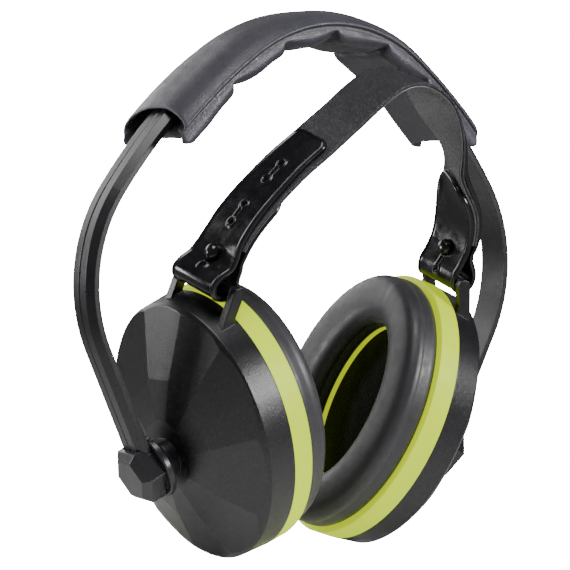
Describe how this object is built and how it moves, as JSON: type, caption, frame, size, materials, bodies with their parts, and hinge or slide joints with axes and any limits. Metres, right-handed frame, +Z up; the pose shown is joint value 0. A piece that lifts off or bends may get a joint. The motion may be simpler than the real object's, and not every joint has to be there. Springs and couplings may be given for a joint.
{
  "type": "earmuff hearing protector",
  "caption": "Passive over-ear hearing protector: sprung band with padded sleeve, sliding ball-jointed cups with bright seal rings, and an adjustable crown strap.",
  "frame": {"origin": "midway between the two ball pivots, where the wearer's ear-to-ear line crosses the middle plane", "axes": "+X towards one ear, +Y towards the back of the head, +Z up to the crown of the headband"},
  "size_m": [0.2116, 0.1021, 0.22],
  "materials": {
    "band_plastic": "satin black moulded plastic",
    "knob_plastic": "polished black moulded plastic",
    "shell_plastic": "black plastic with a fine spark texture",
    "lime_plastic": "fluorescent yellow-green plastic",
    "cushion_pu": "smooth matte dark grey polyurethane skin",
    "sleeve_leatherette": "fine pebbled dark grey leatherette",
    "strap_leatherette": "pebbled black leatherette",
    "strap_lining": "smooth grey lining",
    "tab_rubber": "glossy black moulded rubber",
    "foam": "open-cell black foam",
    "nylon": "black nylon",
    "steel": "turned steel"
  },
  "bodies": {
    "headband": {"headband": "band_plastic", "sleeve_cover": "sleeve_leatherette", "sleeve_foam": "foam"},
    "left_slider": {"slider_base_left": "band_plastic", "knob_cap_left": "knob_plastic", "ball_stud_left": "steel"},
    "left_cup": {"socket_insert_left": "nylon", "cup_shell_left": "shell_plastic", "seal_ring_left": "lime_plastic", "ear_cushion_left": "cushion_pu", "foam_liner_left": "foam"},
    "right_slider": {"slider_base_right": "band_plastic", "knob_cap_right": "knob_plastic", "ball_stud_right": "steel"},
    "right_cup": {"socket_insert_right": "nylon", "cup_shell_right": "shell_plastic", "seal_ring_right": "lime_plastic", "ear_cushion_right": "cushion_pu", "foam_liner_right": "foam"},
    "crown_strap": {"strap_outer": "strap_leatherette", "strap_lining": "strap_lining", "strap_tab_left": "tab_rubber", "strap_stud_left": "tab_rubber", "strap_tab_right": "tab_rubber", "strap_stud_right": "tab_rubber"}
  },
  "joints": [
    {"name": "height_left", "type": "slide", "parent": "headband", "child": "left_slider", "axis": [-0.4289, 0, 0.9033], "range_m": [-0.0015, 0.01]},
    {"name": "swing_left", "type": "hinge", "parent": "left_slider", "child": "left_cup", "pos_m": [-0.06775, 0, 0], "axis": [1, 0, 0], "range_deg": [-25, 70], "deforming": ["strap_outer", "strap_lining"]},
    {"name": "strap_center", "type": "slide", "parent": "left_cup", "child": "crown_strap", "axis": [1, 0, 0], "range_m": [-0.00065, 0.0043]},
    {"name": "height_right", "type": "slide", "parent": "headband", "child": "right_slider", "axis": [0.4289, 0, 0.9033], "range_m": [-0.0015, 0.01]},
    {"name": "swing_right", "type": "hinge", "parent": "right_slider", "child": "right_cup", "pos_m": [0.06775, 0, 0], "axis": [1, 0, 0], "range_deg": [-25, 70]}
  ],
  "couplings": [
    {"joint": "height_right", "follows": "height_left", "ratio": 1},
    {"joint": "swing_right", "follows": "swing_left", "ratio": 1},
    {"joint": "strap_center", "follows": "height_left", "ratio": 0.42894}
  ]
}
